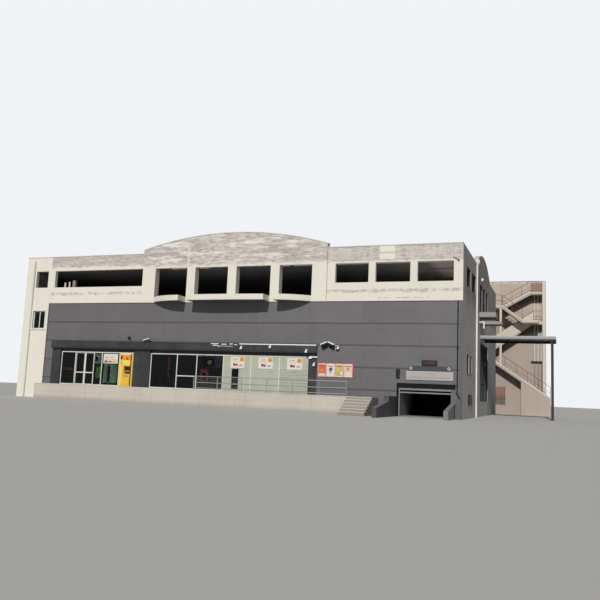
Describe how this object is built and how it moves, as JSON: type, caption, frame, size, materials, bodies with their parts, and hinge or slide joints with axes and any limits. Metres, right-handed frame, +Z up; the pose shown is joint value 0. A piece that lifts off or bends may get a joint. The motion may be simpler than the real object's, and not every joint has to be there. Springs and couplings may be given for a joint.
{
  "type": "supermarket building",
  "caption": "Two-storey flat-roofed shop building: grey clad ground storey, arched parapet over a curved balcony, sliding entrance doors, garage ramp mouth, side canopy, rear stair",
  "frame": {"origin": "on the underside of the front base wall, in the middle of the front and of the wall's thickness, at the lowest ground", "axes": "+X along the front to the right, +Y into the building, +Z up"},
  "size_m": [35.79, 27.835, 11.5],
  "materials": {
    "white_render": "painted cement render, cream white, peeling at the parapets",
    "grey_render": "painted cement render, warm grey",
    "concrete": "bare concrete, trowelled",
    "stair_concrete": "cast concrete, pinkish beige",
    "grey_cladding": "composite cladding sheets, mid grey, satin",
    "charcoal_metal": "coated sheet metal, charcoal, satin",
    "white_aluminium": "white coated aluminium section",
    "clear_glass": "clear glazing",
    "pale_shutter": "pale green-white lacquered panel",
    "yellow_enamel": "yellow enamelled steel",
    "board_white": "white plastic board",
    "red_rail": "steel tube with red paint",
    "rail_steel": "galvanised steel",
    "pipe_plastic": "white plastic pipe",
    "canopy_metal": "coated sheet metal over steel"
  },
  "bodies": {
    "building": {"front_left_bay": "white_render", "upper_wall_left": "white_render", "central_wall": "white_render", "balcony_columns": "white_render", "upper_wall_right": "white_render", "curved_balcony": "white_render", "side_wall_right": "grey_render", "side_wall_left": "grey_render", "rear_wall": "grey_render", "front_wall_over": "grey_render", "front_wall_lower": "grey_render", "front_wall_base": "grey_render", "side_balcony": "grey_render", "side_shelf": "grey_render", "shop_floor": "concrete", "upper_floor": "concrete", "roof_slab": "concrete", "front_terrace": "concrete", "front_steps": "concrete", "ramp_shaft": "concrete", "ramp_floor": "concrete", "ramp_cheeks": "concrete", "front_flights": "stair_concrete", "rear_flights": "stair_concrete", "stair_landings": "stair_concrete", "stair_wall": "stair_concrete", "grey_cladding": "grey_cladding", "shop_piers": "charcoal_metal", "shop_fascia": "charcoal_metal", "shop_head": "charcoal_metal", "shutter_box": "charcoal_metal", "wall_boxes": "charcoal_metal", "entrance_frame": "white_aluminium", "door_track": "white_aluminium", "display_frame": "white_aluminium", "bay_window": "white_aluminium", "shutter_guides": "white_aluminium", "entrance_glass": "clear_glass", "display_glass": "clear_glass", "window_panes": "clear_glass", "shop_shutters": "pale_shutter", "loading_door": "pale_shutter", "cash_machine": "yellow_enamel", "notice_boards": "board_white", "garage_signs": "board_white", "handrail": "rail_steel", "stair_rails": "red_rail", "downpipes": "pipe_plastic", "stair_posts": "pipe_plastic", "canopy": "canopy_metal", "canopy_posts": "canopy_metal"},
    "door_left": {"door_leaf_left": "white_aluminium", "door_glass_left": "clear_glass"},
    "door_right": {"door_leaf_right": "white_aluminium", "door_glass_right": "clear_glass"}
  },
  "joints": [
    {"name": "left_leaf_slide", "type": "slide", "parent": "building", "child": "door_left", "axis": [-1, 0, 0], "range_m": [0, 0.8]},
    {"name": "right_leaf_slide", "type": "slide", "parent": "building", "child": "door_right", "axis": [1, 0, 0], "range_m": [0, 0.8]}
  ],
  "couplings": [
    {"joint": "right_leaf_slide", "follows": "left_leaf_slide", "ratio": 1}
  ]
}
